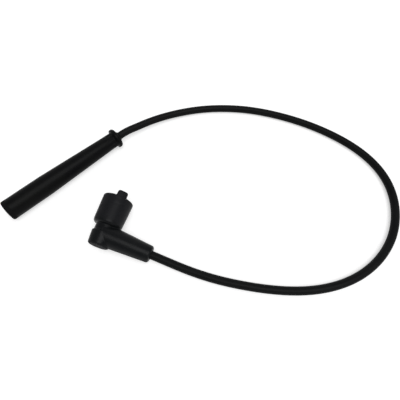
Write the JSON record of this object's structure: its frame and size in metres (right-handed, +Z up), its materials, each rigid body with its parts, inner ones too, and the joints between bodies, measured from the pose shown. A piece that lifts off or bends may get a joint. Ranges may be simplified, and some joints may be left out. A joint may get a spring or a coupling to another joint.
{
  "type": "spark plug wire",
  "caption": "Ignition lead with a long straight spark plug boot and a right-angle coil boot, each with its snap terminal, on a looped silicone cable.",
  "frame": {"origin": "centre of the two boots' box in plan, on the surface that the lead lies on; the free cable isn't counted", "axes": "+X along the plug boot's axis from its mouth to its collar, +Z up from the surface, +Y by the right-hand rule"},
  "size_m": [0.2821, 0.2517, 0.0262],
  "materials": {
    "boot_rubber": "satin moulded silicone rubber",
    "cable_jacket": "smooth satin extruded silicone",
    "terminal_steel": "plated sheet steel",
    "spring_steel": "bare spring wire"
  },
  "bodies": {
    "root": {"plug_boot": "boot_rubber", "coil_boot": "boot_rubber", "ignition_cable": "cable_jacket", "plug_terminal": "terminal_steel", "coil_terminal": "terminal_steel", "plug_terminal_spring": "spring_steel", "coil_terminal_spring": "spring_steel"}
  },
  "joints": []
}
